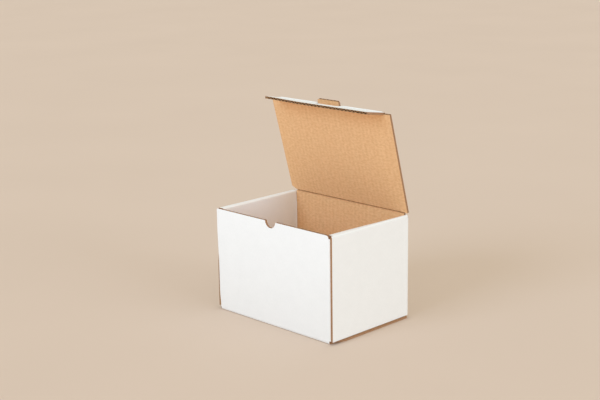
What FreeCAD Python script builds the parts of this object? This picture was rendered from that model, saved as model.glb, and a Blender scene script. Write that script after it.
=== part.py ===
import FreeCAD, Part
import Sketcher
import os

# Corrugated mailer box: one die-cut, creased and folded sheet with a hinged lid.
# Frame: millimetres, +Z up, the origin under the middle of the box on the floor,
# the front wall towards -Y. The blank is white outside and plain kraft inside.

document = FreeCAD.newDocument("mailer_box")
sheet = document.addObject("Spreadsheet::Sheet", "Sizes")

DRIVING_SIZES = [
    ("outer_width", 204.0, "outside of the box across the front"),
    ("outer_depth", 138.0, "outside of the box, front to back"),
    ("wall_height", 134.0, "floor to the top of the rolled side walls"),
    ("board", 3.0, "thickness of the fluted board"),
    ("fold_radius", 2.4, "outer radius of a creased fold"),
    ("roll_radius", 2.9, "outer radius of the rolled top of a side wall"),
    ("ply_gap", 0.35, "air between the boards of a doubled side wall"),
    ("side_lift", 1.0, "raw lower edge of a side wall above the bottom panel"),
    ("seat_gap", 0.25, "air between a lower edge and the panel below it"),
    ("bottom_taper", 20.0, "length of the slanted front corners of the bottom panel"),
    ("inner_rear_gap", 1.2, "air between an inner side panel and the back wall"),
    ("front_corner", 3.0, "radius of the front wall's top corners"),
    ("notch_radius", 8.9, "radius of the thumb notch"),
    ("notch_drop", 0.2, "centre of the thumb notch below the front wall's top"),
    ("dust_length", 62.0, "length of a dust flap behind the front wall"),
    ("dust_slope", 6.0, "how much narrower a dust flap ends than it starts"),
    ("lock_width", 26.0, "width of a locking tab under an inner side panel"),
    ("lock_spacing", 62.0, "distance between the two locking tabs of a side"),
    ("lock_depth", 2.6, "how far a locking tab enters its slot"),
    ("lock_clearance", 0.4, "air around a locking tab in its slot"),
    ("crease_core", 0.9, "radius of the crushed board at the lid's crease"),
    ("crease_gap", 0.15, "air around the core of a moving crease"),
    ("crease_end_gap", 0.4, "lid crease to the rolled top beside it"),
    ("lid_seat", 0.2, "closed lid above the tops of the walls"),
    ("lid_mitre_angle", 46.0, "slope of the board beside the lid's crease, in degrees"),
    ("lid_open_angle", 75.7, "how far the lid stands open, in degrees"),
    ("lid_side_inset", 0.8, "lid's side edges inside the box's sides"),
    ("lid_shoulder", 3.7, "length of the slanted rear corners of the lid"),
    ("flap_wall_gap", 0.3, "tucked flap to the inner face of the front wall"),
    ("flap_length", 27.0, "tuck flap from its crease to its free edge"),
    ("flap_side_inset", 10.6, "ends of the flap's crease inside the lid's side edges"),
    ("flap_end_gap", 0.3, "air between each end of the flap and the lid beside it"),
    ("flap_taper", 3.4, "how much each end of the flap slants inwards"),
    ("flap_mitre_angle", 53.0, "slope of the board beside the flap's crease, in degrees"),
    ("flap_fold_angle", 67.7, "how far the tuck flap is folded from flat, in degrees"),
    ("tab_width", 36.0, "width of the pull tab"),
    ("tab_reach", 7.8, "pull tab past the flap's crease"),
    ("tab_corner", 2.5, "radius of the pull tab's corners"),
    ("tab_kerf", 0.6, "width of the cut that frees the pull tab from the flap"),
    ("flute_pitch", 6.4, "distance from one flute of the board to the next"),
    ("flute_depth", 4.0, "how deep the open flutes of a cut edge are modelled"),
    ("liner", 0.35, "thickness of the flat papers on both faces of the board"),
    ("flute_paper", 0.35, "thickness of the fluted paper between them"),
    ("flute_crest", 1.5, "flat top of a flute where it meets a liner"),
    ("flute_margin", 1.2, "plain board left beside the corners of a fluted edge"),
    ("cut_margin", 1.0, "how far a cutting shape stands outside the board"),
]

# Sizes worked out from the driving ones, each named once.
DERIVED_SIZES = [
    ("half_width", "=outer_width / 2"),
    ("half_depth", "=outer_depth / 2"),
    ("roll_width", "=3 * board + 2 * ply_gap"),
    ("roll_inside", "=half_width - roll_width"),
    ("inner_face", "=roll_inside + board"),
    ("dust_face", "=half_width - board - ply_gap"),
    ("front_flat", "=dust_face - fold_radius"),
    ("ply_top", "=wall_height - board - ply_gap"),
    ("side_foot", "=board + side_lift"),
    ("panel_foot", "=board + seat_gap"),
    ("crease_half", "=roll_inside - crease_end_gap"),
    ("crease_plane", "=half_depth - board / 2"),
    ("crease_height", "=wall_height + lid_seat + board / 2"),
    ("lid_half", "=half_width - lid_side_inset"),
    ("lid_length", "=outer_depth - 2 * board - flap_wall_gap"),
    ("fold_half", "=lid_half - flap_side_inset"),
    ("flap_half", "=fold_half - flap_end_gap"),
    ("tab_half", "=tab_width / 2"),
    ("slot_half", "=tab_half + tab_kerf"),
    ("mitre_start", "=tab_half + tab_kerf / 2"),
    ("slot_reach", "=tab_reach + tab_kerf"),
    ("cut_face", "=board / 2 + cut_margin"),
    ("crest_half", "=flute_crest / 2 - flute_paper / 2"),
    ("valley_half", "=flute_pitch / 2 - flute_crest / 2 - flute_paper / 2"),
    ("front_flutes_start", "=notch_radius + flute_margin + flute_pitch / 4"),
    ("front_flutes_end", "=front_flat - front_corner - flute_margin"),
    ("front_flutes", "=floor((front_flutes_end - front_flutes_start) / flute_pitch)"),
    ("flap_edge_half", "=flap_half - flap_taper - flute_margin"),
    ("flap_flutes", "=floor(2 * flap_edge_half / flute_pitch)"),
    ("tab_edge_half", "=tab_half - tab_corner"),
    ("tab_flutes", "=floor(2 * tab_edge_half / flute_pitch)"),
]

for row, (alias, value, meaning) in enumerate(DRIVING_SIZES, start=1):
    sheet.set("A%d" % row, meaning)
    sheet.set("B%d" % row, str(value))
    sheet.setAlias("B%d" % row, alias)

for row, (alias, formula) in enumerate(DERIVED_SIZES, start=len(DRIVING_SIZES) + 1):
    sheet.set("B%d" % row, formula)
    sheet.setAlias("B%d" % row, alias)

document.recompute()

ALIASES = {row[0] for row in DRIVING_SIZES} | {row[0] for row in DERIVED_SIZES}


def bound(expression):
    """The expression with each size written as a cell of the sheet."""
    words = []
    word = ""
    for letter in expression + " ":
        if letter.isalnum() or letter == "_":
            word += letter
            continue
        words.append("Sizes." + word if word in ALIASES else word)
        words.append(letter)
        word = ""
    return "".join(words).strip()


def value_of(expression):
    """The number that an expression of sizes gives."""
    return float(sheet.evalExpression(bound(expression)))


def point_of(corner):
    """The place of a corner in its sketch."""
    return FreeCAD.Vector(value_of(corner[0]), value_of(corner[1]), 0)


def step_sign(start, stop):
    """Direction of the step between two numbers: -1, 0 or 1."""
    return (stop > start + 1e-9) - (stop < start - 1e-9)


def add_bound(sketch, expression, kind, *target):
    """A constraint whose value follows the sheet."""
    index = sketch.addConstraint(Sketcher.Constraint(kind, *target, value_of(expression)))
    sketch.setExpression("Constraints[%d]" % index, bound(expression))


def pin(sketch, edge, end, corner):
    """Holds one end or centre of an edge at a place given by expressions."""
    add_bound(sketch, corner[0], "DistanceX", -1, 1, edge, end)
    add_bound(sketch, corner[1], "DistanceY", -1, 1, edge, end)


def join(sketch, first, first_end, second, second_end):
    """Lets two ends meet."""
    sketch.addConstraint(Sketcher.Constraint("Coincident", first, first_end, second, second_end))


def tangent_stops(corners, index):
    """Where the two edges at a corner stop: the corner itself, or the ends of its arc."""
    corner = corners[index]
    if len(corner) == 2:
        return corner, corner
    here = point_of(corner)
    stops = []
    for other in (corners[index - 1], corners[(index + 1) % len(corners)]):
        there = point_of(other)
        across = step_sign(here.x, there.x)
        along = step_sign(here.y, there.y)
        stops.append((
            "%s + %d * (%s)" % (corner[0], across, corner[2]),
            "%s + %d * (%s)" % (corner[1], along, corner[2]),
        ))
    return tuple(stops)


def draw_outline(sketch, corners):
    """Draws a closed outline through corners (x, y). A corner (x, y, radius), whose
    two edges are parallel to the axes, is rounded."""
    count = len(corners)
    stops = [tangent_stops(corners, index) for index in range(count)]
    lines = []
    for index in range(count):
        start = point_of(stops[index][1])
        stop = point_of(stops[(index + 1) % count][0])
        lines.append(sketch.addGeometry(Part.LineSegment(start, stop), False))
    for index in range(count):
        arriving = lines[index - 1]
        leaving = lines[index]
        pin(sketch, leaving, 1, stops[index][1])
        if len(corners[index]) == 2:
            join(sketch, arriving, 2, leaving, 1)
            continue
        pin(sketch, arriving, 2, stops[index][0])
        first = point_of(stops[index][0])
        last = point_of(stops[index][1])
        corner = point_of(corners[index])
        centre = first + last - corner
        turn = (corner - first).cross(last - corner).z
        middle = centre + (corner - centre) / corner.distanceToPoint(centre) * first.distanceToPoint(centre)
        arc = sketch.addGeometry(Part.Arc(first, middle, last), False)
        join(sketch, arc, 1 if turn > 0 else 2, arriving, 2)
        join(sketch, arc, 2 if turn > 0 else 1, leaving, 1)
        add_bound(sketch, corners[index][2], "Radius", arc)


def draw_disc(sketch, centre, radius):
    """Draws a circle."""
    circle = Part.Circle(point_of(centre), FreeCAD.Vector(0, 0, 1), value_of(radius))
    edge = sketch.addGeometry(circle, False)
    pin(sketch, edge, 3, centre)
    add_bound(sketch, radius, "Radius", edge)


def mirrored(corners):
    """The same outline on the other side of the middle."""
    return [("-(%s)" % corner[0],) + tuple(corner[1:]) for corner in corners]


def both_sides(corners):
    """An outline and its mirror image."""
    return [corners, mirrored(corners)]


def extrude(body, name, plane, start, length, outlines=(), discs=(), cut=False):
    """Pads or pockets outlines from an origin plane of the body, moved by start
    along the plane's normal, over the length along that normal. The normals are
    +Z for XY_Plane, -Y for XZ_Plane and +X for YZ_Plane."""
    before = body.Shape.Volume if body.Tip else 0.0
    sketch = body.newObject("Sketcher::SketchObject", name + "_sketch")
    origin_plane = next(item for item in body.Origin.OriginFeatures if item.Role == plane)
    sketch.AttachmentSupport = [(origin_plane, "")]
    sketch.MapMode = "FlatFace"
    sketch.setExpression("AttachmentOffset.Base.z", bound(start))
    for corners in outlines:
        draw_outline(sketch, corners)
    for centre, radius in discs:
        draw_disc(sketch, centre, radius)
    feature = body.newObject("PartDesign::Pocket" if cut else "PartDesign::Pad", name)
    feature.Profile = sketch
    feature.Reversed = cut
    feature.setExpression("Length", bound(length))
    document.recompute()
    change = body.Shape.Volume - before
    if (change >= 0) == cut or abs(change) < 1e-6:
        raise RuntimeError("%s changes the volume by %.3f" % (name, change))
    return feature


def flute_openings(start, face, into):
    """The two openings that one wave of the fluted paper leaves between the liners,
    the first under a crest and the second in the valley after it. The board's face
    is at face, and into says which way the other face lies."""
    openings = []
    for place, near, far in (("1", "0", "board"), ("3", "board", "0")):
        centre = "%s + %s * flute_pitch / 4" % (start, place)
        inner_side = 1 if near == "0" else -1
        base = "%s + %d * (%s + %d * liner)" % (face, into, near, inner_side)
        crown = "%s + %d * (%s - %d * (liner + flute_paper))" % (face, into, far, inner_side)
        openings.append([
            ("%s - valley_half" % centre, base),
            ("%s + valley_half" % centre, base),
            ("%s + crest_half" % centre, crown),
            ("%s - crest_half" % centre, crown),
        ])
    return openings


def repeat_flutes(body, name, original, count, backwards=False):
    """Repeats one wave's openings along X, the given number of waves in all."""
    before = body.Shape.Volume
    pattern = body.newObject("PartDesign::LinearPattern", name)
    pattern.Originals = [original]
    axis = next(item for item in body.Origin.OriginFeatures if item.Role == "X_Axis")
    pattern.Direction = (axis, [""])
    pattern.Reversed = backwards
    pattern.setExpression("Length", bound("(%s - 1) * flute_pitch" % count))
    pattern.setExpression("Occurrences", bound(count))
    body.Tip = pattern
    document.recompute()
    if body.Shape.Volume > before - 1e-6:
        raise RuntimeError("%s takes nothing off" % name)
    return pattern


def new_body(label):
    """A body for one piece of the box."""
    body = document.addObject("PartDesign::Body", label)
    body.Label = label
    return body


def zones(start, length):
    """Stretches along X on both sides of the middle."""
    return [("_right", start, length), ("_left", "-(%s + %s)" % (start, length), length)]


# Tray: the bottom, the four walls with the rolled and doubled sides, and the
# dust flaps, folded from one sheet.

tray = new_body("tray")

# Front wall, bottom and the lower part of the back wall: the strip that the
# flutes run along.
strip = [
    ("-half_depth", "wall_height"),
    ("-half_depth", "0", "fold_radius"),
    ("half_depth", "0", "fold_radius"),
    ("half_depth", "ply_top"),
    ("half_depth - board", "ply_top"),
    ("half_depth - board", "board"),
    ("board - half_depth", "board"),
    ("board - half_depth", "wall_height"),
]
extrude(tray, "front_bottom_back", "YZ_Plane", "-front_flat", "2 * front_flat", [strip])

# Bottom panel out to its raw side edges, with slanted front corners.
bottom = [
    ("front_flat", "fold_radius - half_depth"),
    ("half_width", "fold_radius + bottom_taper - half_depth"),
    ("half_width", "half_depth - fold_radius"),
    ("-half_width", "half_depth - fold_radius"),
    ("-half_width", "fold_radius + bottom_taper - half_depth"),
    ("-front_flat", "fold_radius - half_depth"),
]
extrude(tray, "bottom_panel", "XY_Plane", "0", "board", [bottom])

# Back wall with an outer side panel folded forward from each end of it.
wrap = [
    ("half_width", "-half_depth"),
    ("half_width", "half_depth", "fold_radius"),
    ("-half_width", "half_depth", "fold_radius"),
    ("-half_width", "-half_depth"),
    ("board - half_width", "-half_depth"),
    ("board - half_width", "half_depth - board"),
    ("half_width - board", "half_depth - board"),
    ("half_width - board", "-half_depth"),
]
extrude(tray, "back_and_sides", "XY_Plane", "side_foot", "ply_top - side_foot", [wrap])

# Rolled top of each side wall, with the inner panel hanging from it.
roll = [
    ("half_width", "ply_top - board"),
    ("half_width", "wall_height", "roll_radius"),
    ("roll_inside", "wall_height", "roll_radius"),
    ("roll_inside", "panel_foot"),
    ("inner_face", "panel_foot"),
    ("inner_face", "ply_top"),
    ("half_width - board", "ply_top"),
    ("half_width - board", "ply_top - board"),
]
extrude(
    tray,
    "rolled_sides",
    "XZ_Plane",
    "board + inner_rear_gap - half_depth",
    "outer_depth - 2 * board - inner_rear_gap - ply_gap",
    both_sides(roll),
)

# The roll runs on over the low end of the back wall.
roll_end = [
    ("half_width", "ply_top - board"),
    ("half_width", "wall_height", "roll_radius"),
    ("roll_inside", "wall_height", "roll_radius"),
    ("roll_inside", "ply_top + ply_gap"),
    ("half_width - board", "ply_top + ply_gap"),
    ("half_width - board", "ply_top - board"),
]
extrude(
    tray,
    "roll_rear_ends",
    "XZ_Plane",
    "fold_radius - half_depth",
    "board + inner_rear_gap - fold_radius",
    both_sides(roll_end),
)

# In front, only the outer panel's own top reaches the raw front edge.
roll_front = [
    ("half_width", "ply_top - board"),
    ("half_width", "wall_height", "roll_radius"),
    ("half_width - board", "wall_height"),
    ("half_width - board", "ply_top - board"),
]
extrude(
    tray,
    "roll_front_ends",
    "XZ_Plane",
    "half_depth - board - ply_gap",
    "board + ply_gap",
    both_sides(roll_front),
)

# Fold of the front wall into a dust flap on each side, inside the doubled wall.
dust_fold = [
    ("front_flat - board", "-half_depth"),
    ("dust_face", "-half_depth", "fold_radius"),
    ("dust_face", "dust_length - half_depth"),
    ("dust_face - board", "dust_length - half_depth"),
    ("dust_face - board", "board - half_depth"),
    ("front_flat - board", "board - half_depth"),
]
extrude(
    tray,
    "dust_flaps",
    "XY_Plane",
    "side_foot",
    "ply_top - ply_gap - side_foot",
    both_sides(dust_fold),
)

# Each dust flap is cut narrower towards its rear end, above and below.
dust_slant = [
    ("board + ply_gap - half_depth", "side_foot - cut_margin"),
    ("dust_length + cut_margin - half_depth", "side_foot - cut_margin"),
    ("dust_length + cut_margin - half_depth", "side_foot + dust_slope"),
    ("dust_length - half_depth", "side_foot + dust_slope"),
    ("board + ply_gap - half_depth", "side_foot"),
]
dust_slant_top = [
    ("board + ply_gap - half_depth", "ply_top - ply_gap"),
    ("dust_length - half_depth", "ply_top - ply_gap - dust_slope"),
    ("dust_length + cut_margin - half_depth", "ply_top - ply_gap - dust_slope"),
    ("dust_length + cut_margin - half_depth", "ply_top"),
    ("board + ply_gap - half_depth", "ply_top"),
]
for side, start, length in zones("dust_face - board", "board"):
    extrude(tray, "dust_slant" + side, "YZ_Plane", start, length, [dust_slant, dust_slant_top], cut=True)

# Back wall's crease for the lid: sloping shoulders and the crushed core.
crease = [
    ("crease_plane - board / 2", "ply_top - board"),
    ("crease_plane + board / 2", "ply_top - board"),
    ("crease_plane + board / 2", "crease_height - board / 2 * tan(lid_mitre_angle * 1 deg)"),
    ("crease_plane", "crease_height"),
    ("crease_plane - board / 2", "crease_height - board / 2 * tan(lid_mitre_angle * 1 deg)"),
]
extrude(tray, "crease_shoulders", "YZ_Plane", "-crease_half", "2 * crease_half", [crease])
crease_centre = ("crease_plane", "crease_height")
extrude(
    tray,
    "crease_bead",
    "YZ_Plane",
    "-crease_half",
    "2 * crease_half",
    discs=[(crease_centre, "crease_core")],
)



def front_corner_edges(shape):
    """Names of the short edges at both ends of the front wall's top."""
    names = []
    for number, edge in enumerate(shape.Edges, start=1):
        middle = edge.CenterOfMass
        across = abs(abs(middle.x) - value_of("front_flat"))
        below = abs(middle.z - value_of("wall_height"))
        behind = abs(middle.y - value_of("board / 2 - half_depth"))
        if max(across, below, behind) < 1e-6:
            names.append("Edge%d" % number)
    return names


# Slots through the bottom panel, then the locking tabs that stand in them.
lock_places = ("-lock_spacing / 2", "lock_spacing / 2")


def lock_outline(place, growth):
    """Outline of a locking tab seen from above, grown by a clearance."""
    return [
        ("roll_inside - %s" % growth, "%s - lock_width / 2 - %s" % (place, growth)),
        ("inner_face + %s" % growth, "%s - lock_width / 2 - %s" % (place, growth)),
        ("inner_face + %s" % growth, "%s + lock_width / 2 + %s" % (place, growth)),
        ("roll_inside - %s" % growth, "%s + lock_width / 2 + %s" % (place, growth)),
    ]


slots = []
tabs = []
for place in lock_places:
    slots += both_sides(lock_outline(place, "lock_clearance"))
    tabs += both_sides(lock_outline(place, "0"))
extrude(tray, "lock_slots", "XY_Plane", "-cut_margin", "board + cut_margin + seat_gap / 2", slots, cut=True)
extrude(tray, "lock_tabs", "XY_Plane", "board - lock_depth", "lock_depth + seat_gap", tabs)

# Thumb notch in the middle of the front wall's top, and its rounded ends.
notch_centre = ("0", "wall_height - notch_drop")
extrude(
    tray,
    "thumb_notch",
    "XZ_Plane",
    "half_depth - board - ply_gap / 2",
    "board + ply_gap",
    discs=[(notch_centre, "notch_radius")],
    cut=True,
)

notched = tray.Tip
corner_edges = front_corner_edges(notched.Shape)
round_front = tray.newObject("PartDesign::Fillet", "front_wall_corners")
round_front.Base = (notched, corner_edges)
round_front.setExpression("Radius", bound("front_corner"))
document.recompute()

# Open flutes along the front wall's top, on both sides of the thumb notch.
right_flutes = flute_openings("front_flutes_start", "-half_depth", 1)
for side, outlines in (("_right", right_flutes), ("_left", [mirrored(corners) for corners in right_flutes])):
    first_wave = extrude(
        tray,
        "front_flute" + side,
        "XY_Plane",
        "wall_height - flute_depth",
        "flute_depth + cut_margin",
        outlines,
        cut=True,
    )
    repeat_flutes(tray, "front_flutes_row" + side, first_wave, "front_flutes", side == "_left")

# Lid: a flat panel with the pull tab on its front edge. It is drawn closed, its
# crease along X through its own origin, and then turned open.

lid = new_body("lid")

lid_outline = [
    ("crease_half", "0"),
    ("crease_half", "-crease_core - crease_gap"),
    ("lid_half", "-crease_core - crease_gap - lid_shoulder"),
    ("lid_half", "-lid_length"),
    ("tab_half", "-lid_length"),
    ("tab_half", "-lid_length - tab_reach", "tab_corner"),
    ("-tab_half", "-lid_length - tab_reach", "tab_corner"),
    ("-tab_half", "-lid_length"),
    ("-lid_half", "-lid_length"),
    ("-lid_half", "-crease_core - crease_gap - lid_shoulder"),
    ("-crease_half", "-crease_core - crease_gap"),
    ("-crease_half", "0"),
]
extrude(lid, "panel", "XY_Plane", "-board / 2", "board", [lid_outline])


def shoulder_cut(place, side, mitre, edge_side):
    """What a mitre takes off one face of a board that ends at a crease. The board
    lies on the side of the crease that edge_side points away from."""
    slope = "%d * cut_face * tan(%s * 1 deg)" % (-edge_side, mitre)
    return [
        (place, "0"),
        ("%s + %s" % (place, slope), "%d * cut_face" % side),
        ("%s + %d * cut_margin" % (place, edge_side), "%d * cut_face" % side),
        ("%s + %d * cut_margin" % (place, edge_side), "0"),
    ]


extrude(
    lid,
    "crease_shoulders_above",
    "YZ_Plane",
    "-lid_half",
    "2 * lid_half",
    [shoulder_cut("0", 1, "lid_mitre_angle", 1)],
    cut=True,
)
extrude(
    lid,
    "crease_shoulders_below",
    "YZ_Plane",
    "-lid_half",
    "2 * lid_half",
    [shoulder_cut("0", -1, "lid_mitre_angle", 1)],
    cut=True,
)
extrude(
    lid,
    "crease_hollow",
    "YZ_Plane",
    "-lid_half",
    "2 * lid_half",
    discs=[(("0", "0"), "crease_core + crease_gap")],
    cut=True,
)

# Beside the tab, the lid ends at the flap's crease: a mitre inside, a round outside.
for side, start, length in zones("mitre_start", "fold_half - mitre_start"):
    extrude(
        lid,
        "flap_mitre" + side,
        "YZ_Plane",
        start,
        length,
        [shoulder_cut("-lid_length", -1, "flap_mitre_angle", -1)],
        cut=True,
    )
    extrude(
        lid,
        "flap_bead" + side,
        "YZ_Plane",
        start,
        length,
        discs=[(("-lid_length", "0"), "board / 2")],
    )

# Open flutes along the tab's end.
tab_wave = extrude(
    lid,
    "tab_flute",
    "XZ_Plane",
    "lid_length + tab_reach - flute_depth",
    "flute_depth + cut_margin",
    flute_openings("-(tab_flutes * flute_pitch / 2)", "board / 2", -1),
    cut=True,
)
repeat_flutes(lid, "tab_flutes_row", tab_wave, "tab_flutes")

# Tuck flap: drawn flat with the lid, its crease along X through its own origin,
# then folded in. A cut round the pull tab opens its rear edge.

tuck_flap = new_body("tuck_flap")

flap_outline = [
    ("flap_half", "0"),
    ("flap_half - flap_taper", "-flap_length"),
    ("flap_taper - flap_half", "-flap_length"),
    ("-flap_half", "0"),
    ("-slot_half", "0"),
    ("-slot_half", "-slot_reach", "tab_corner"),
    ("slot_half", "-slot_reach", "tab_corner"),
    ("slot_half", "0"),
]
extrude(tuck_flap, "flap_panel", "XY_Plane", "-board / 2", "board", [flap_outline])
extrude(
    tuck_flap,
    "flap_shoulder",
    "YZ_Plane",
    "-lid_half",
    "2 * lid_half",
    [shoulder_cut("0", -1, "flap_mitre_angle", 1)],
    cut=True,
)
extrude(
    tuck_flap,
    "flap_hollow",
    "YZ_Plane",
    "-lid_half",
    "2 * lid_half",
    discs=[(("0", "0"), "board / 2 + crease_gap")],
    cut=True,
)

# Open flutes along the flap's free edge.
flap_wave = extrude(
    tuck_flap,
    "flap_flute",
    "XZ_Plane",
    "flap_length - flute_depth",
    "flute_depth + cut_margin",
    flute_openings("-(flap_flutes * flute_pitch / 2)", "board / 2", -1),
    cut=True,
)
repeat_flutes(tuck_flap, "flap_flutes_row", flap_wave, "flap_flutes")

# Poses: the lid stands open on the back wall's crease, and the flap hangs
# folded on the lid's front crease.

hinge_axis = FreeCAD.Vector(1, 0, 0)
lid.Placement = FreeCAD.Placement(FreeCAD.Vector(0, 0, 0), FreeCAD.Rotation(hinge_axis, -1))
lid.setExpression("Placement.Base.y", bound("crease_plane"))
lid.setExpression("Placement.Base.z", bound("crease_height"))
lid.setExpression("Placement.Rotation.Angle", bound("-lid_open_angle"))
tuck_flap.Placement = FreeCAD.Placement(FreeCAD.Vector(0, 0, 0), FreeCAD.Rotation(hinge_axis, -1))
tuck_flap.setExpression(
    "Placement.Base.y", bound("crease_plane - lid_length * cos(lid_open_angle * 1 deg)")
)
tuck_flap.setExpression(
    "Placement.Base.z", bound("crease_height + lid_length * sin(lid_open_angle * 1 deg)")
)
tuck_flap.setExpression("Placement.Rotation.Angle", bound("flap_fold_angle - lid_open_angle"))

document.recompute()

for item in document.Objects:
    if "Invalid" in item.State or "Error" in item.State:
        raise RuntimeError("%s did not compute: %s" % (item.Label, item.State))

os.makedirs("parts", exist_ok=True)
for piece in (tray, lid, tuck_flap):
    shape = piece.Shape
    if shape.isNull() or not shape.isValid() or len(shape.Solids) != 1:
        raise RuntimeError("%s is not one valid solid" % piece.Label)
    shape.exportStep("parts/%s.step" % piece.Label)
    print(piece.Label, round(shape.Volume, 1), shape.BoundBox)
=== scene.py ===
import math

import bpy
from mathutils import Matrix, Vector


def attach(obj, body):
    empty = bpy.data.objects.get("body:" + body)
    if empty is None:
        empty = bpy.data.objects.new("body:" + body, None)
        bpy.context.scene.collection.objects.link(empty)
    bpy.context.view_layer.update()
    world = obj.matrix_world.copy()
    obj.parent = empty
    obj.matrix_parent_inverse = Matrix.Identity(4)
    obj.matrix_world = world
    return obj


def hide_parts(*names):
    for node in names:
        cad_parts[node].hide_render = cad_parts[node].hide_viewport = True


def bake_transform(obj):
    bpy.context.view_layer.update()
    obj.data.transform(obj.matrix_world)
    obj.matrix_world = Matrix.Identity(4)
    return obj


# Looks of a folded corrugated mailer box: one board, white outside and kraft
# inside, built as outer and inner paper with real cut edges between them.
# Lengths in this script are millimetres until a mesh is made.

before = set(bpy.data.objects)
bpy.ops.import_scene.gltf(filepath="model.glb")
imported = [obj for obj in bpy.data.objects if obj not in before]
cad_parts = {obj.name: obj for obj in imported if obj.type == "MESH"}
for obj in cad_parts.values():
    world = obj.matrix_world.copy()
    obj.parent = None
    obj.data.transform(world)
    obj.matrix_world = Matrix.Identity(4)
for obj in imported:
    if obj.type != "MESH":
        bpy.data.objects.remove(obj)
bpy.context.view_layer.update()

MM = 0.001

# Sizes of the folded board, as in the part's source but for a sharper roll and a
# shallower notch.
WIDTH = 204.0
DEPTH = 138.0
HEIGHT = 134.0
BOARD = 3.0
FOLD_RADIUS = 2.4
ROLL_RADIUS = 1.9
ROLL_INNER_RADIUS = 1.6
PLY_GAP = 0.35
SIDE_LIFT = 1.0
SEAT_GAP = 0.25
BOTTOM_TAPER = 20.0
INNER_REAR_GAP = 1.2
NOTCH_RADIUS = 8.9
NOTCH_DEPTH = 8.4
DUST_LENGTH = 62.0
DUST_SLOPE = 6.0
LOCK_WIDTH = 26.0
LOCK_SPACING = 62.0
LOCK_DEPTH = 2.6
LOCK_CLEARANCE = 0.4
CREASE_END_GAP = 0.4
LID_SEAT = 0.2
LID_OPEN = 75.7
LID_SIDE_INSET = 0.8
FLAP_WALL_GAP = 0.3
FLAP_LENGTH = 27.0
FLAP_SIDE_INSET = 10.6
FLAP_END_GAP = 0.3
FLAP_TAPER = 3.4
FLAP_FOLD = 67.7
TAB_WIDTH = 36.0
TAB_REACH = 7.8
TAB_CORNER = 2.5
TAB_KERF = 0.6

HALF_W = WIDTH / 2
HALF_D = DEPTH / 2
ROLL_IN = HALF_W - 3 * BOARD - 2 * PLY_GAP
INNER_FACE = ROLL_IN + BOARD
DUST_FACE = HALF_W - BOARD - PLY_GAP
FRONT_FLAT = DUST_FACE - FOLD_RADIUS
PLY_TOP = HEIGHT - BOARD - PLY_GAP
DUST_TOP = PLY_TOP - PLY_GAP
SIDE_FOOT = BOARD + SIDE_LIFT
PANEL_FOOT = BOARD + SEAT_GAP
CREASE_HALF = ROLL_IN - CREASE_END_GAP
CREASE_RIGHT = FRONT_FLAT
LOCK_SLOT_X = (ROLL_IN - LOCK_CLEARANCE, INNER_FACE + LOCK_CLEARANCE)
LOCK_SLOT_Y = (
    LOCK_SPACING / 2 - LOCK_WIDTH / 2 - LOCK_CLEARANCE,
    LOCK_SPACING / 2 + LOCK_WIDTH / 2 + LOCK_CLEARANCE,
)
CREASE_Y = HALF_D - BOARD / 2
CREASE_Z = HEIGHT + LID_SEAT + BOARD / 2
LID_HALF = HALF_W - LID_SIDE_INSET
LID_LENGTH = DEPTH - 2 * BOARD - FLAP_WALL_GAP
FOLD_HALF = LID_HALF - FLAP_SIDE_INSET
FLAP_HALF = FOLD_HALF - FLAP_END_GAP
TAB_HALF = TAB_WIDTH / 2
SLOT_HALF = TAB_HALF + TAB_KERF
SLOT_REACH = TAB_REACH + TAB_KERF

# How the photographed box strays from its drawn shape.
LEFT_REAR_GAP = 0.3
LEFT_CORNER_ROUND = 1.6
LEFT_CORNER_DROP = 0.7
RIGHT_CORNER_ROUND = 3.7
LOW_BULGE = 1.5
LOW_BULGE_RISE = (5, 25)
HIGH_BULGE = 1.7
HIGH_BULGE_RISE = (55, 112)
BULGE_REACH = (60, 96)
SHIFT_FADE = 2.0
NOTCH_SHIFT = 2.0
NOTCH_SHIFT_REACH = 90
NOTCH_SHIFT_RISE = (85, 125)
LEFT_END_BACK = 1.5
LEFT_END_LEAN = 3.0
LEFT_END_SPREAD = 0.02
LEFT_END_RISE = (55, 105)
LEFT_CRUSH = 1.3
LEFT_CRUSH_REACH = (-66.5, -61.5)
ROLL_LEAN = 2.3
ROLL_LEAN_REACH = (-65, 75)
ROLL_LEAN_RISE = (60, 128)
REAR_CURL = 1.1
REAR_CURL_LENGTH = 4.5
REAR_CURL_RISE = (4, 14)
LEFT_SHOULDER = 3.7
RIGHT_SHOULDER = -1.2
LEFT_LEAN = (2.4, -0.7)
RIGHT_LEAN = (0.7, -0.9)
LEFT_BOW = 0.4
MORE_RIGHT_BOW = 0.9
BOW_SIDES = (76, 90)
LEFT_TAPER = 1.4
LEFT_LIFT = 1.1
LEFT_LIFT_START = 20

# The board's own make-up.
LINER = 0.32
MEDIUM = 0.32
FLUTE_PITCH = 6.4
CHANNEL_DEPTH = 4.0
NICK_DEPTH = 0.55
SEAM_DEPTH = 0.02
# A cut is open where it crosses the flutes, and its channels are deep where it is
# straight as well.
OPEN_SLANT = 2.2
MOST_TURN = math.radians(25)
# Within the cut edge: where the papers' inner edges end, and how deep the middle is.
PAPER_BEVEL = 1.3
MIDDLE_DEPTH = 1.1
# The waved paper stands back from the cut and ends before the channel does.
RIBBON_BACK = 0.1
RIBBON_SHORT = 0.2
RIBBON_STEP = FLUTE_PITCH / 9
# Faces that meet at more than this are shaded apart.
SHARP_ANGLE = math.radians(32)
INNER_FILLET = 0.8
# How far the inner paper reaches to the front and to the back within the folds, and
# how fast its columns spread again behind the front one.
INNER_LIMIT = HALF_D - BOARD - INNER_FILLET
INNER_SPREAD = 0.3
LID_CREASE_REACH = 1.6
FLAP_CREASE_REACH = 2.1
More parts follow.
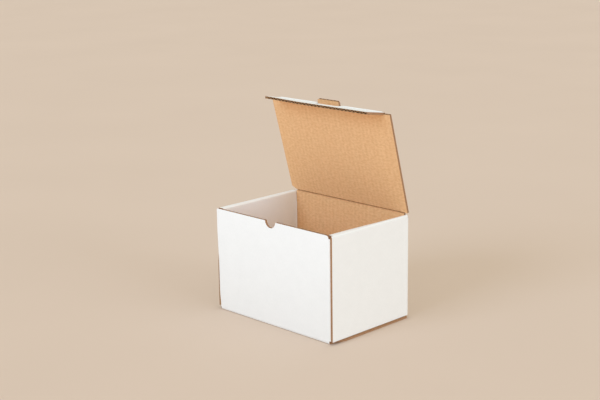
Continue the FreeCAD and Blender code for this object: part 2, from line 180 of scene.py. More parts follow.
# From one panel to the other a crease has rows of cells at this share. The pressed
# ones are painted darker as painted shade in the crease, and the ridge on the inside
# comes before them. An outer ridge falls to the board's level over its taper at each end.
CREASE_SHARE = 0.125
SHADED_CREASE_ROWS = range(4, 7)
RIDGE_SHARE = 0.375
RIDGE_TAPER = 5

# Steps round the curves, and how far apart rows and columns of places are at most.
# A share is a part of a panel's whole length.
FOLD_STEPS = 5
NOTCH_STEPS = 22
ROUND_STEPS = 5
CORNER_STEPS = 6
COLUMN_GAP = 4.5
WIDE_COLUMN_GAP = 5.0
WALL_SHARE = 0.05
WALL_ROW_GAP = 7.0
BOTTOM_ROW_GAP = 8.0
DUST_COLUMN_GAP = 6.0
LID_SHARE = 0.045
TAB_SHARE = 0.2
FLAP_SHARE = 0.06
SLOT_ROW_GAP = 2.5
FLAP_ROW_GAP = 3.2
# Places closer than this count as one.
NEAR = 0.01
TINY = 1e-6

WHITE_SKIN, KRAFT_SKIN, RAW_EDGE, FLUTE, PAINTED_CHANNEL_SHADE, PAINTED_CREASE_SHADE = range(6)


def steps(start, stop, largest):
    """Evenly spaced numbers from start to stop, no further apart than largest."""
    count = max(1, math.ceil(abs(stop - start) / largest - 1e-9))
    return [start + (stop - start) * k / count for k in range(count + 1)]


def path_steps(stops, largest):
    """The stops and evenly spaced numbers between each two of them."""
    found = [stops[0]]
    for start, stop in zip(stops, stops[1:]):
        found += steps(start, stop, largest)[1:]
    return found


class Board:
    """A folded sheet of board. Each place of it has a point on the outer and on the
    inner paper, and its coordinates on the flat sheet: across and along the flutes."""

    def __init__(self):
        self.index = {}
        self.outer = []
        self.inner = []
        self.flat = []
        self.seam = []
        self.faces = []
        self.creased = set()

    def place(self, outer, inner, flat, seam=False):
        key = tuple(round(value, 3) for value in (*outer, *inner))
        if key not in self.index:
            self.index[key] = len(self.outer)
            self.outer.append(outer)
            self.inner.append(inner)
            self.flat.append(flat)
            self.seam.append(seam)
        found = self.index[key]
        self.seam[found] = self.seam[found] or seam
        return found

    def patch(self, rows, wanted=None):
        """Adds the cells between rows of places."""
        grid = [[self.place(*spot) for spot in row] for row in rows]
        for i in range(len(grid) - 1):
            for j in range(len(grid[i]) - 1):
                if wanted and not wanted(i, j):
                    continue
                ring = []
                for spot in (grid[i][j], grid[i][j + 1], grid[i + 1][j + 1], grid[i + 1][j]):
                    if spot not in ring:
                        ring.append(spot)
                if len(ring) > 2:
                    self.faces.append(self.facing_out(ring))

    def facing_out(self, ring):
        corners = [Vector(self.outer[k]) for k in ring]
        out = Vector()
        for k in ring:
            out += Vector(self.outer[k]) - Vector(self.inner[k])
        turn = Vector()
        for k in range(len(corners)):
            turn += (corners[k] - corners[0]).cross(corners[(k + 1) % len(corners)] - corners[0])
        return ring if turn.dot(out) > 0 else ring[::-1]

    def rims(self):
        """The loops of places along the sheet's cut edges, the board on their left."""
        used = {}
        for ring in self.faces:
            for a, b in zip(ring, ring[1:] + ring[:1]):
                used[(a, b)] = ring
        ahead = {}
        for (a, b) in used:
            if (b, a) not in used:
                ahead.setdefault(a, []).append(b)
        loops = []
        while ahead:
            start = next(iter(ahead))
            loop = [start]
            here = start
            while True:
                options = ahead[here]
                step = options.pop(0)
                if not options:
                    del ahead[here]
                if step == start:
                    break
                loop.append(step)
                here = step
            loops.append(loop)
        return loops


class Mesh:
    """Points, faces and materials that become one Blender object."""

    def __init__(self):
        self.points = []
        self.flat = []
        self.faces = []
        self.materials = []

    def add(self, point, flat):
        self.points.append(tuple(point))
        self.flat.append(flat)
        return len(self.points) - 1

    def face(self, ring, material):
        self.faces.append(ring)
        self.materials.append(material)


def board_mesh(board):
    """The solid board: both papers, its cut edges, and the fluted paper in them."""
    mesh = Mesh()
    outer = [Vector(p) for p in board.outer]
    inner = [Vector(p) for p in board.inner]
    outer_ids = [mesh.add(p, f) for p, f in zip(outer, board.flat)]
    inner_ids = [mesh.add(p, f) for p, f in zip(inner, board.flat)]
    for number, ring in enumerate(board.faces):
        # Cells of a crease's pressed rows take kraft painted darker as painted shade.
        kraft = PAINTED_CREASE_SHADE if number in board.creased else KRAFT_SKIN
        mesh.face([outer_ids[k] for k in ring], WHITE_SKIN)
        mesh.face([inner_ids[k] for k in reversed(ring)], kraft)
    for loop in board.rims():
        rim_mesh(mesh, board, loop, outer, inner, outer_ids, inner_ids)
    return mesh


def rim_mesh(mesh, board, loop, outer, inner, outer_ids, inner_ids):
    """Closes one cut edge. Across the flutes it is open, and shows them."""
    count = len(loop)
    middle = [(outer[k] + inner[k]) / 2 for k in loop]
    through = [(outer[k] - inner[k]) / BOARD for k in loop]
    along = [(middle[(j + 1) % count] - middle[j]) for j in range(count)]
    inward = []
    for j in range(count):
        facing = Vector()
        for step in (along[j - 1], along[j]):
            if step.length > TINY:
                facing += through[j].cross(step.normalized())
        inward.append(facing.normalized())
    kinds = []
    for j in range(count):
        a, b = loop[j], loop[(j + 1) % count]
        across = abs(board.flat[b][0] - board.flat[a][0])
        beside = abs(board.flat[b][1] - board.flat[a][1])
        seam = board.seam[a] and board.seam[b]
        kinds.append("seam" if seam else "open" if across > OPEN_SLANT * beside else "side")
    sections = []
    depths = []
    for j, k in enumerate(loop):
        pair = (kinds[j - 1], kinds[j])
        straight = along[j - 1].angle(along[j], 0.0) < MOST_TURN
        depth = CHANNEL_DEPTH if pair == ("open", "open") and straight else NICK_DEPTH
        if "seam" in pair:
            depth = SEAM_DEPTH
        depths.append(depth)
        span = outer[k] - inner[k]
        liner = LINER / BOARD
        bevel = liner * PAPER_BEVEL
        ring = [outer_ids[k]]
        levels = (
            (liner, 0.0),
            (bevel, depth),
            (0.5, depth * MIDDLE_DEPTH),
            (1 - bevel, depth),
            (1 - liner, 0.0),
        )
        for level, sunk in levels:
            point = outer[k] - span * level + inward[j] * sunk
            ring.append(mesh.add(point, board.flat[k]))
        ring.append(inner_ids[k])
        sections.append(ring)
    for j in range(count):
        here, there = sections[j], sections[(j + 1) % count]
        for level in range(len(here) - 1):
            paper = level in (0, len(here) - 2)
            quad = [there[level], here[level], here[level + 1], there[level + 1]]
            # The middle faces of an open edge take kraft painted darker as painted shade in the flute
            # channels.
            mesh.face(quad, PAINTED_CHANNEL_SHADE if kinds[j] == "open" and not paper else RAW_EDGE)
    flute_ribbons(mesh, board, loop, kinds, middle, through, inward, depths)


def flute_ribbons(mesh, board, loop, kinds, middle, through, inward, depths):
    """The fluted paper that shows between the two liners of an open edge."""
    count = len(loop)
    starts = [j for j in range(count) if kinds[j] == "open" and kinds[j - 1] != "open"]
    if not starts and kinds[0] == "open":
        starts = [0]
    for start in starts:
        run = [start]
        while kinds[run[-1] % count] == "open" and len(run) <= count:
            run.append(run[-1] + 1)
        length = sum(
            (middle[after % count] - middle[before % count]).length
            for before, after in zip(run, run[1:])
        )
        if length < FLUTE_PITCH:
            continue
        ribbon(mesh, board, loop, run, middle, through, inward, depths)


def ribbon(mesh, board, loop, run, middle, through, inward, depths):
    """The waved paper along one run of an open edge."""
    count = len(loop)
    rows = []
    swing = BOARD / 2 - LINER - MEDIUM / 2
    for i in range(len(run) - 1):
        a, b = run[i] % count, run[i + 1] % count
        flat_a, flat_b = board.flat[loop[a]], board.flat[loop[b]]
        cuts = steps(0.0, (middle[b] - middle[a]).length or TINY, RIBBON_STEP)
        for cut in cuts if i == 0 else cuts[1:]:
            share = cut / cuts[-1]
            across = flat_a[0] + (flat_b[0] - flat_a[0]) * share
            lengthwise = flat_a[1] + (flat_b[1] - flat_a[1]) * share
            turn = 2 * math.pi * across / FLUTE_PITCH
            slope = 2 * math.pi / FLUTE_PITCH * swing * math.cos(turn)
            half = MEDIUM / 2 * math.sqrt(1 + slope * slope)
            centre = middle[a].lerp(middle[b], share)
            out = through[a].lerp(through[b], share)
            into = inward[a].lerp(inward[b], share)
            heart = centre + out * (swing * math.sin(turn))
            flat = (across, lengthwise)
            deep = max(RIBBON_SHORT, depths[a] + (depths[b] - depths[a]) * share - RIBBON_SHORT)
            rows.append([
                mesh.add(heart + out * half + into * RIBBON_BACK, flat),
                mesh.add(heart - out * half + into * RIBBON_BACK, flat),
                mesh.add(heart - out * half + into * deep, flat),
                mesh.add(heart + out * half + into * deep, flat),
            ])
    for here, there in zip(rows, rows[1:]):
        for side in range(4):
            after = (side + 1) % 4
            mesh.face([here[side], here[after], there[after], there[side]], FLUTE)
    mesh.face(rows[0][::-1], FLUTE)
    mesh.face(rows[-1], FLUTE)


def make_object(name, mesh, body, materials):
    """A Blender object of the mesh, in metres, that moves with the body."""
    data = bpy.data.meshes.new(name)
    used = sorted({k for ring in mesh.faces for k in ring})
    number = {k: place for place, k in enumerate(used)}
    points = [[value * MM for value in mesh.points[k]] for k in used]
    data.from_pydata(points, [], [[number[k] for k in ring] for ring in mesh.faces])
    for material in materials:
        data.materials.append(material)
    data.polygons.foreach_set("material_index", mesh.materials)
    layer = data.uv_layers.new(name="sheet")
    for corner in data.loops:
        u, v = mesh.flat[used[corner.vertex_index]]
        layer.data[corner.index].uv = (u * MM, v * MM)
    data.validate()
    data.shade_smooth()
    data.set_sharp_from_angle(angle=SHARP_ANGLE)
    piece = bpy.data.objects.new(name, data)
    bpy.context.scene.collection.objects.link(piece)
    if body:
        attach(piece, body)
    return piece


# The tray

FOLD_SHARES = [k / FOLD_STEPS for k in range(FOLD_STEPS + 1)]
WALL_SHARES = path_steps([0.0, 0.85, 1.0], WALL_SHARE)


def fold_pairs(corner, leave, arrive, radius):
    """Outer and inner points round a right-angled fold, in its plane. The outer
    faces meet at corner, leave points back along the first of them and arrive on
    along the second."""
    deep = BOARD + INNER_FILLET
    found = []
    for share in FOLD_SHARES:
        cosine, sine = math.cos(share * math.pi / 2), math.sin(share * math.pi / 2)
        outer = [
            corner[k] + leave[k] * radius * (1 - sine) + arrive[k] * radius * (1 - cosine)
            for k in (0, 1)
        ]
        inner = [
            corner[k] + leave[k] * (deep - INNER_FILLET * sine) + arrive[k] * (deep - INNER_FILLET * cosine)
            for k in (0, 1)
        ]
        found.append((outer, inner))
    return found


def tray_columns():
    """Places across the front, close together round the thumb notch."""
    notch = [NOTCH_RADIUS * math.cos(math.pi * k / NOTCH_STEPS) for k in range(NOTCH_STEPS // 2 + 1)]
    side = path_steps([NOTCH_RADIUS, CREASE_HALF], COLUMN_GAP)[1:]
    corner = [
        FRONT_FLAT - RIGHT_CORNER_ROUND * (1 - math.sin(math.pi / 2 * k / ROUND_STEPS))
        for k in range(ROUND_STEPS + 1)
    ]
    positive = sorted({round(value, 4) for value in [*notch, *side, *corner, *LOCK_SLOT_X]})
    positive = [value for value in positive if value > NEAR]
    return [-value for value in reversed(positive)] + [0.0] + positive


COLUMNS = tray_columns()


def front_top(x):
    """Height of the front wall's top edge at x."""
    if abs(x) < NOTCH_RADIUS:
        return HEIGHT - NOTCH_DEPTH * math.sqrt(1 - (x / NOTCH_RADIUS) ** 2)
    rounding, depth = LEFT_CORNER_ROUND, LEFT_CORNER_DROP
    if x > 0:
        rounding, depth = RIGHT_CORNER_ROUND, HEIGHT - DUST_TOP
    past = abs(x) - (FRONT_FLAT - rounding)
    if past > 0:
        return HEIGHT - depth * (1 - math.sqrt(max(0.0, 1 - (past / rounding) ** 2)))
    return HEIGHT


def smooth(value, start, stop):
    """0 up to start, 1 from stop on, and a soft rise between."""
    share = min(1.0, max(0.0, (value - start) / (stop - start)))
    return share * share * (3 - 2 * share)


def front_shift(x, z):
    """How far the front wall's paper stands from its drawn place across the box: the
    left corner bulges over the side's end, and the notch is a little off the middle."""
    bulge = LOW_BULGE * smooth(z, *LOW_BULGE_RISE) + HIGH_BULGE * smooth(z, *HIGH_BULGE_RISE)
    near = 1 - min(1.0, abs(x) / NOTCH_SHIFT_REACH) ** 2
    notch = NOTCH_SHIFT * near * smooth(z, *NOTCH_SHIFT_RISE)
    return -bulge * smooth(-x, *BULGE_REACH) - notch


def side_front(side, y, z):
    """The side panels' front end. On the left it stops short of the bulging corner."""
    if side > 0:
        return y
    edge = -HALF_D + LEFT_END_BACK + LEFT_END_LEAN * smooth(z, *LEFT_END_RISE)
    # The spread keeps the columns that are pushed back apart.
    return max(y, edge + LEFT_END_SPREAD * (y + HALF_D))


def side_crush(side, x, y, z):
    """How far the corner beside it presses in the left side's front end."""
    if side > 0 or x < HALF_W - 0.1:
        return 0.0
    return LEFT_CRUSH * (1 - smooth(y, *LEFT_CRUSH_REACH)) * (1 - smooth(z, *LEFT_END_RISE))


def roll_drop(side, x, y, z):
    """The right side's rolled top leans into the box towards the back."""
    if side < 0:
        return 0.0
    inside = smooth(HALF_W - ROLL_RADIUS - x, 0, HALF_W - ROLL_RADIUS - ROLL_IN)
    return ROLL_LEAN * inside * smooth(y, *ROLL_LEAN_REACH) * smooth(z, *ROLL_LEAN_RISE)


def build_tray():
    board = Board()
    limit = HALF_D - FOLD_RADIUS
    taper_end = FOLD_RADIUS + BOTTOM_TAPER - HALF_D
    stops = [-limit, limit, taper_end, *LOCK_SLOT_Y, *(-y for y in LOCK_SLOT_Y)]
    ys = sorted(set(path_steps(sorted(stops), BOTTOM_ROW_GAP)))
    zs = path_steps([SIDE_FOOT, PLY_TOP], WALL_ROW_GAP)
    front_to_back(board, ys, zs)
    crease_strip(board)
    for side in (-1, 1):
        bottom_wing(board, side, ys)
        back_wing(board, side, zs)
        dust_flap(board, side)
        rolled_side(board, side, zs)
    return board


def front_to_back(board, ys, zs):
    """The front wall, the bottom and the back wall, in one strip. Along the flutes
    the flat sheet is measured from the front fold."""
    rows = []
    for share in WALL_SHARES:
        row = []
        for x in COLUMNS:
            z = SIDE_FOOT + (front_top(x) - SIDE_FOOT) * (1.0 - share)
            moved = x + front_shift(x, z)
            row.append(((moved, -HALF_D, z), (moved, BOARD - HALF_D, z), (x, -z)))
        rows.append(row)
    for outer, inner in fold_pairs((-HALF_D, 0.0), (0, 1), (1, 0), FOLD_RADIUS):
        rows.append([((x, *outer), (x, *inner), (x, outer[0] + HALF_D - outer[1])) for x in COLUMNS])
    for y in ys[1:-1]:
        rows.append([((x, y, 0.0), (x, bottom_inner(y), BOARD), (x, y + HALF_D)) for x in COLUMNS])
    first_bottom = len(rows) - len(ys) + 1
    for outer, inner in fold_pairs((HALF_D, 0.0), (-1, 0), (0, 1), FOLD_RADIUS):
        rows.append([((x, *outer), (x, *inner), (x, outer[0] + HALF_D + outer[1])) for x in COLUMNS])
    for z in zs:
        rows.append([((x, HALF_D, z), (x, HALF_D - BOARD, z), (x, DEPTH + z)) for x in COLUMNS])

    def strip_cell(i, j):
        """False for the slots in the bottom that the locking tabs sit in."""
        if not first_bottom <= i < first_bottom + len(ys) - 1:
            return True
        y = abs(ys[i - first_bottom] + ys[i - first_bottom + 1]) / 2
        x = abs(COLUMNS[j] + COLUMNS[j + 1]) / 2
        in_slot = LOCK_SLOT_X[0] < x < LOCK_SLOT_X[1] and LOCK_SLOT_Y[0] < y < LOCK_SLOT_Y[1]
        return not in_slot

    board.patch(rows, strip_cell)


def crease_strip(board):
    """The back wall between the rolled sides' tops, up to the lid's crease."""
    top = CREASE_Z - LID_CREASE_REACH
    columns = [x for x in COLUMNS if -CREASE_HALF - NEAR <= x <= CREASE_RIGHT + NEAR]
    rows = []
    for z in (PLY_TOP, (PLY_TOP + top) / 2, top):
        seam = z == top
        rows.append([((x, HALF_D, z), (x, HALF_D - BOARD, z), (x, DEPTH + z), seam) for x in columns])
    board.patch(rows)


def bottom_inner(y):
    """Inner paper's place over y on the bottom panel, kept clear of the folds."""
    return max(-INNER_LIMIT, min(INNER_LIMIT, y))


def bottom_wing(board, side, ys):
    """The bottom panel beside the front and back folds, out to its raw side edge."""
    rows = []
    limit = HALF_D - FOLD_RADIUS
    for y in ys:
        reach = min(1.0, (y + limit) / BOTTOM_TAPER)
        edge = FRONT_FLAT + (HALF_W - FRONT_FLAT) * reach
        row = []
        for share in (0.0, 0.5, 1.0):
            x = side * (FRONT_FLAT + (edge - FRONT_FLAT) * share)
            inner_y = bottom_inner(y) if share == 0.0 else y
            row.append(((x, y, 0.0), (x, inner_y, BOARD), (x, y + HALF_D)))
        rows.append(row)
    board.patch(rows)


def back_wing(board, side, zs):
    """The back wall beside its bottom fold, and the fold into the outer side panel."""
    rows = []
    turn = fold_pairs((side * HALF_W, HALF_D), (-side, 0), (0, -1), FOLD_RADIUS)
    for z in zs:
        x = side * FRONT_FLAT
        row = [((x, HALF_D, z), (x, HALF_D - BOARD, z), (x, DEPTH + z))]
        for step, (outer, inner) in enumerate(turn):
            u = side * (HALF_W - FOLD_RADIUS + FOLD_RADIUS * math.pi / 2 * FOLD_SHARES[step])
            row.append(((*outer, z), (*inner, z), (u, DEPTH + z)))
        rows.append(row)
    board.patch(rows)


def dust_flap(board, side):
    """The front wall's fold and the dust flap between the plies of the side."""
    turn = fold_pairs((side * DUST_FACE, -HALF_D), (-side, 0), (0, 1), FOLD_RADIUS)
    columns = []
    for step, (outer, inner) in enumerate(turn):
        u = side * (FRONT_FLAT + FOLD_RADIUS * math.pi / 2 * FOLD_SHARES[step])
        columns.append((outer, inner, u, 0.0))
    fold_end = FOLD_RADIUS - HALF_D
    calm = fold_end + SHIFT_FADE
    for y in path_steps([fold_end, (fold_end + calm) / 2, calm, DUST_LENGTH - HALF_D], DUST_COLUMN_GAP)[1:]:
        share = (y - fold_end) / (DUST_LENGTH - FOLD_RADIUS)
        u = side * (FRONT_FLAT + FOLD_RADIUS * math.pi / 2 + y - fold_end)
        # The fold's inner paper ends further back than its outer paper.
        inner_y = max(y, INNER_SPREAD * (y - fold_end) - INNER_LIMIT)
        inner = (side * (DUST_FACE - BOARD), inner_y)
        columns.append(((side * DUST_FACE, y), inner, u, share * DUST_SLOPE))
    rows = []
    for share in WALL_SHARES:
        row = []
        for step, (outer, inner, u, slope) in enumerate(columns):
            top = DUST_TOP
            if side < 0:
                kept = 1 - smooth(step / (len(turn) - 1), 0.0, 1.0)
                top += (HEIGHT - LEFT_CORNER_DROP - DUST_TOP) * kept
            z = SIDE_FOOT + slope + (top - SIDE_FOOT - 2 * slope) * share
            shift = front_shift(side * FRONT_FLAT, z) * (1 - smooth(outer[1], fold_end, calm))
            row.append(((outer[0] + shift, outer[1], z), (inner[0] + shift, inner[1], z), (u, -z)))
        rows.append(row)
    board.patch(rows)


def rolled_side(board, side, zs):
    """Outer side panel, rolled top, inner panel and its locking tabs."""
    roll_front = BOARD + PLY_GAP - HALF_D
    roll_back = HALF_D - BOARD - (INNER_REAR_GAP if side > 0 else LEFT_REAR_GAP)
    tabs = []
    for middle in (-LOCK_SPACING / 2, LOCK_SPACING / 2):
        tabs += [middle - LOCK_WIDTH / 2, middle + LOCK_WIDTH / 2]
    fold_end = HALF_D - FOLD_RADIUS
    curl_start = roll_back - REAR_CURL_LENGTH
    ends = steps(curl_start, roll_back, REAR_CURL_LENGTH / 3) + [fold_end]
    ys = path_steps([-HALF_D, roll_front] + tabs + ends, WALL_ROW_GAP)
    roll_start = HEIGHT - ROLL_RADIUS
    # The outer and inner paper seen from the front, and the way along the flutes.
    profile = []
    for z in zs:
        profile.append(((HALF_W, z), (HALF_W - BOARD, z), DEPTH + z))
    turn = fold_pairs((HALF_W, HEIGHT), (0, -1), (-1, 0), ROLL_RADIUS)
    for step, (outer, inner) in enumerate(turn):
        profile.append((outer, inner, DEPTH + roll_start + ROLL_RADIUS * math.pi / 2 * FOLD_SHARES[step]))
    corner_row = len(profile) - 1
    turn_down = fold_pairs((ROLL_IN, HEIGHT), (1, 0), (0, -1), ROLL_INNER_RADIUS)
    v = profile[-1][2] + HALF_W - ROLL_IN - ROLL_RADIUS - ROLL_INNER_RADIUS
    for step, (outer, inner) in enumerate(turn_down):
        profile.append((outer, inner, v + ROLL_INNER_RADIUS * math.pi / 2 * FOLD_SHARES[step]))
    inner_row = len(profile) - 1
    inner_start = HEIGHT - ROLL_INNER_RADIUS
    v = profile[-1][2]
    for z in path_steps([inner_start, PANEL_FOOT, BOARD - LOCK_DEPTH], WALL_ROW_GAP)[1:]:
        inner = (ROLL_IN + BOARD, min(z, HEIGHT - BOARD - INNER_FILLET))
        profile.append(((ROLL_IN, z), inner, v + inner_start - z))
    tab_row = next(k for k in range(inner_row, len(profile)) if profile[k][0][1] < PANEL_FOOT + NEAR)

    rows = []
    for place, (outer, inner, v) in enumerate(profile):
        row = []
        for y in ys:
            near_fold = y == fold_end and v < DEPTH + roll_start - NEAR
            inner_y = INNER_LIMIT if near_fold else y
            u = side * (HALF_W - FOLD_RADIUS + FOLD_RADIUS * math.pi / 2 + fold_end - y)
            drop = roll_drop(side, outer[0], y, outer[1])
            crush = side_crush(side, outer[0], y, outer[1])
            curl = 0.0
            if side < 0 and place > inner_row:
                bent = max(0.0, (y - curl_start) / REAR_CURL_LENGTH) ** 2
                curl = REAR_CURL * bent * smooth(HEIGHT - outer[1], *REAR_CURL_RISE)
            row.append((
                (side * outer[0] + curl, side_front(side, y, outer[1]), outer[1] - drop),
                (side * (inner[0] + crush) + curl, side_front(side, inner_y, outer[1]), inner[1] - drop),
                (u, v),
            ))
        rows.append(row)

    def side_cell(i, j):
        """False where the rolled top ends short of the walls, and between the tabs."""
        y = (ys[j] + ys[j + 1]) / 2
        if i < corner_row:
            return True
        if y < roll_front:
            return False
        if i < inner_row:
            return True
        if y > roll_back:
            return False
        if i < tab_row:
            return True
        return abs(abs(y) - LOCK_SPACING / 2) < LOCK_WIDTH / 2

    board.patch(rows, side_cell)


# The lid, the tuck flap and the creased board at their joints

def turned(angle, origin, x, s, n):
    """A place on a panel that leaves origin at an angle from the level, towards the
    front: s along it, n out of its outer face."""
    cosine, sine = math.cos(math.radians(angle)), math.sin(math.radians(angle))
    return (x, origin[0] - cosine * s + sine * n, origin[1] + sine * s + cosine * n)


LID_ORIGIN = (CREASE_Y, CREASE_Z)
FLAP_ORIGIN = turned(LID_OPEN, LID_ORIGIN, 0.0, LID_LENGTH, 0.0)[1:]
FLAP_ANGLE = LID_OPEN - FLAP_FOLD
SHEET_HINGE = DEPTH + CREASE_Z
SHEET_FLAP = SHEET_HINGE + LID_LENGTH


def lid_bow(x, s):
    """The lid bends a little into the box between its creases, most on the right of
    its middle. Its two sides are straight, so they lie on the side walls' tops."""
    length = LID_LENGTH - FLAP_CREASE_REACH - LID_CREASE_REACH
    share = min(1.0, max(0.0, (s - LID_CREASE_REACH) / length))
    middle = 1 - smooth(abs(x), *BOW_SIDES)
    most = LEFT_BOW + MORE_RIGHT_BOW * smooth(x, -LID_HALF, LID_HALF)
    return middle * most * math.sin(math.pi * share)


def lid_lean(x, s):
    """The lid's sides are cut a little out of square."""
    low, high = LEFT_LEAN if x < 0 else RIGHT_LEAN
    margin = max(0.0, abs(x) - CREASE_HALF) / (LID_HALF - CREASE_HALF)
    return (low + (high - low) * s / LID_LENGTH) * margin


def lid_place(x, s, seam=False):
    half = BOARD / 2
    bow = lid_bow(x, s)
    across = x + lid_lean(x, s)
    outer = turned(LID_OPEN, LID_ORIGIN, across, s, half - bow)
    inner = turned(LID_OPEN, LID_ORIGIN, across, s, -half - bow)
    return (outer, inner, (x, SHEET_HINGE + s), seam)


def mirrored_columns(values):
    values = sorted(set(values))
    return [-value for value in reversed(values) if value > 0] + values


def build_lid():
    board = Board()
    crease_start = LID_LENGTH - FLAP_CREASE_REACH
    shoulder = [CREASE_HALF + (LID_HALF - CREASE_HALF) * k / 2 for k in (1, 2)]
    tab_curve = [
        TAB_HALF - TAB_CORNER * (1 - math.sin(math.pi / 2 * k / CORNER_STEPS))
        for k in range(CORNER_STEPS + 1)
    ]
    positive = steps(0.0, TAB_HALF - TAB_CORNER, COLUMN_GAP) + tab_curve
    positive += steps(SLOT_HALF, FOLD_HALF, WIDE_COLUMN_GAP) + [CREASE_HALF, CREASE_RIGHT] + shoulder
    columns = mirrored_columns([round(value, 4) for value in positive])

    def rear(x):
        """Where the lid starts: outside the crease its shoulders are cut at a slant."""
        if x < 0:
            return LID_CREASE_REACH + LEFT_SHOULDER * max(0.0, -x - CREASE_HALF) / (LID_HALF - CREASE_HALF)
        return LID_CREASE_REACH + RIGHT_SHOULDER * max(0.0, x - CREASE_RIGHT) / (LID_HALF - CREASE_RIGHT)

    rows = []
    for share in steps(0.0, 1.0, LID_SHARE):
        row = []
        for x in columns:
            s = rear(x) + (crease_start - rear(x)) * share
            seam = share == 0.0 and -CREASE_HALF - NEAR <= x <= CREASE_RIGHT + NEAR
            seam = seam or share == 1.0 and SLOT_HALF - NEAR <= abs(x) <= FOLD_HALF + NEAR
            row.append(lid_place(x, s, seam))
        rows.append(row)
    board.patch(rows)

    tab_columns = [x for x in columns if abs(x) <= TAB_HALF + NEAR]

    def tab_end(x):
        past = max(0.0, abs(x) - (TAB_HALF - TAB_CORNER)) / TAB_CORNER
        return LID_LENGTH + TAB_REACH - TAB_CORNER * (1 - math.sqrt(max(0.0, 1 - past * past)))

    rows = []
    for share in steps(0.0, 1.0, TAB_SHARE):
        rows.append([lid_place(x, crease_start + (tab_end(x) - crease_start) * share) for x in tab_columns])
    board.patch(rows)
    for side in (-1, 1):
        ends = [x for x in columns if side * x >= FOLD_HALF - NEAR]
        board.patch([[lid_place(x, s) for x in ends] for s in (crease_start, LID_LENGTH)])
    return board


def flap_place(x, s, seam=False):
    half = BOARD / 2
    lift = LEFT_LIFT * smooth(-x, LEFT_LIFT_START, FLAP_HALF) * smooth(s, FLAP_CREASE_REACH, FLAP_LENGTH)
    outer = turned(FLAP_ANGLE, FLAP_ORIGIN, x, s, half + lift)
    inner = turned(FLAP_ANGLE, FLAP_ORIGIN, x, s, lift - half)
    return (outer, inner, (x, SHEET_FLAP + s), seam)


def flap_side_x(side, share, s):
    """Across the flap from the cut round the tab, at 0, to its slanted end, at 1."""
    end = FLAP_HALF - (FLAP_TAPER if side > 0 else LEFT_TAPER) * s / FLAP_LENGTH
    return SLOT_HALF + (end - SLOT_HALF) * share


def build_flap():
    board = Board()
    side_shares = steps(0.0, 1.0, FLAP_SHARE)
    slot_curve = [k / CORNER_STEPS for k in range(CORNER_STEPS + 1)]
    for side in (-1, 1):
        rows = []
        for s in path_steps([FLAP_CREASE_REACH, SLOT_REACH - TAB_CORNER], SLOT_ROW_GAP):
            seam = s == FLAP_CREASE_REACH
            rows.append([flap_place(side * flap_side_x(side, share, s), s, seam) for share in side_shares])
        for share in slot_curve[1:]:
            s = SLOT_REACH - TAB_CORNER * (1 - share)
            rows.append([flap_place(side * flap_side_x(side, across, s), s) for across in side_shares])
        for s in steps(SLOT_REACH, FLAP_LENGTH, FLAP_ROW_GAP)[1:]:
            rows.append([flap_place(side * flap_side_x(side, share, s), s) for share in side_shares])
        board.patch(rows)
        # The rounded corner of the cut: what it leaves beside the straight sides.
        corner = []
        for share in slot_curve:
            s = SLOT_REACH - TAB_CORNER * (1 - share)
            x = SLOT_HALF - TAB_CORNER * (1 - math.sqrt(max(0.0, 1 - share * share)))
            corner.append([flap_place(side * x, s), flap_place(side * SLOT_HALF, s)])
        board.patch(corner)
    middle = mirrored_columns(steps(0.0, SLOT_HALF - TAB_CORNER, COLUMN_GAP) + [SLOT_HALF])
    board.patch([[flap_place(x, s) for x in middle] for s in steps(SLOT_REACH, FLAP_LENGTH, FLAP_ROW_GAP)])
    return board


def build_crease(origin, angle, bend, reach, outer_level, inner_level, spans, flat_start, ridge=0.0):
    """The creased board at a joint: full board at both ends, pressed between. It
    leaves the first panel at angle and is turned by bend towards the inside. The
    levels are where the two papers are in its middle, out of the board's own middle,
    and ridge is how far the inner paper stands up beside the crease. An outer paper
    that stands up falls again towards the crease's ends."""
    board = Board()
    half = BOARD / 2
    for start, stop in spans:
        columns = steps(start, stop, WIDE_COLUMN_GAP)
        rows = []
        for share in steps(0.0, 1.0, CREASE_SHARE):
            s = (2 * share - 1) * reach
            pinch = 0.5 + 0.5 * math.cos(math.pi * (2 * share - 1))
            turn = angle - bend * share * share * (3 - 2 * share)
            rise = (outer_level - half) * pinch
            out = [half + rise] * len(columns)
            if rise > 0:
                near_end = [min(x - start, stop - x) / RIDGE_TAPER for x in columns]
                out = [half + min(rise, rise * near) for near in near_end]
            into = -half + (inner_level + half) * pinch
            into -= ridge * math.sin(math.pi * min(1.0, share / RIDGE_SHARE)) ** 2
            ends = share in (0.0, 1.0)
            rows.append([
                (
                    turned(turn, origin, x, s, high),
                    turned(turn, origin, x, s, into),
                    (x, flat_start + s),
                    ends,
                )
                for x, high in zip(columns, out)
            ])
        for number in range(1, len(rows)):
            first = len(board.faces)
            board.patch(rows[number - 1:number + 1])
            # These rows take the painted shade of the crease.
            if number in SHADED_CREASE_ROWS:
                board.creased.update(range(first, len(board.faces)))
    return board


# Materials

def srgb(red, green, blue):
    """A linear colour from the usual 0 to 255 numbers."""
    found = []
    for value in (red, green, blue):
        value /= 255
        found.append(value / 12.92 if value <= 0.04045 else ((value + 0.055) / 1.055) ** 2.4)
    return (*found, 1.0)


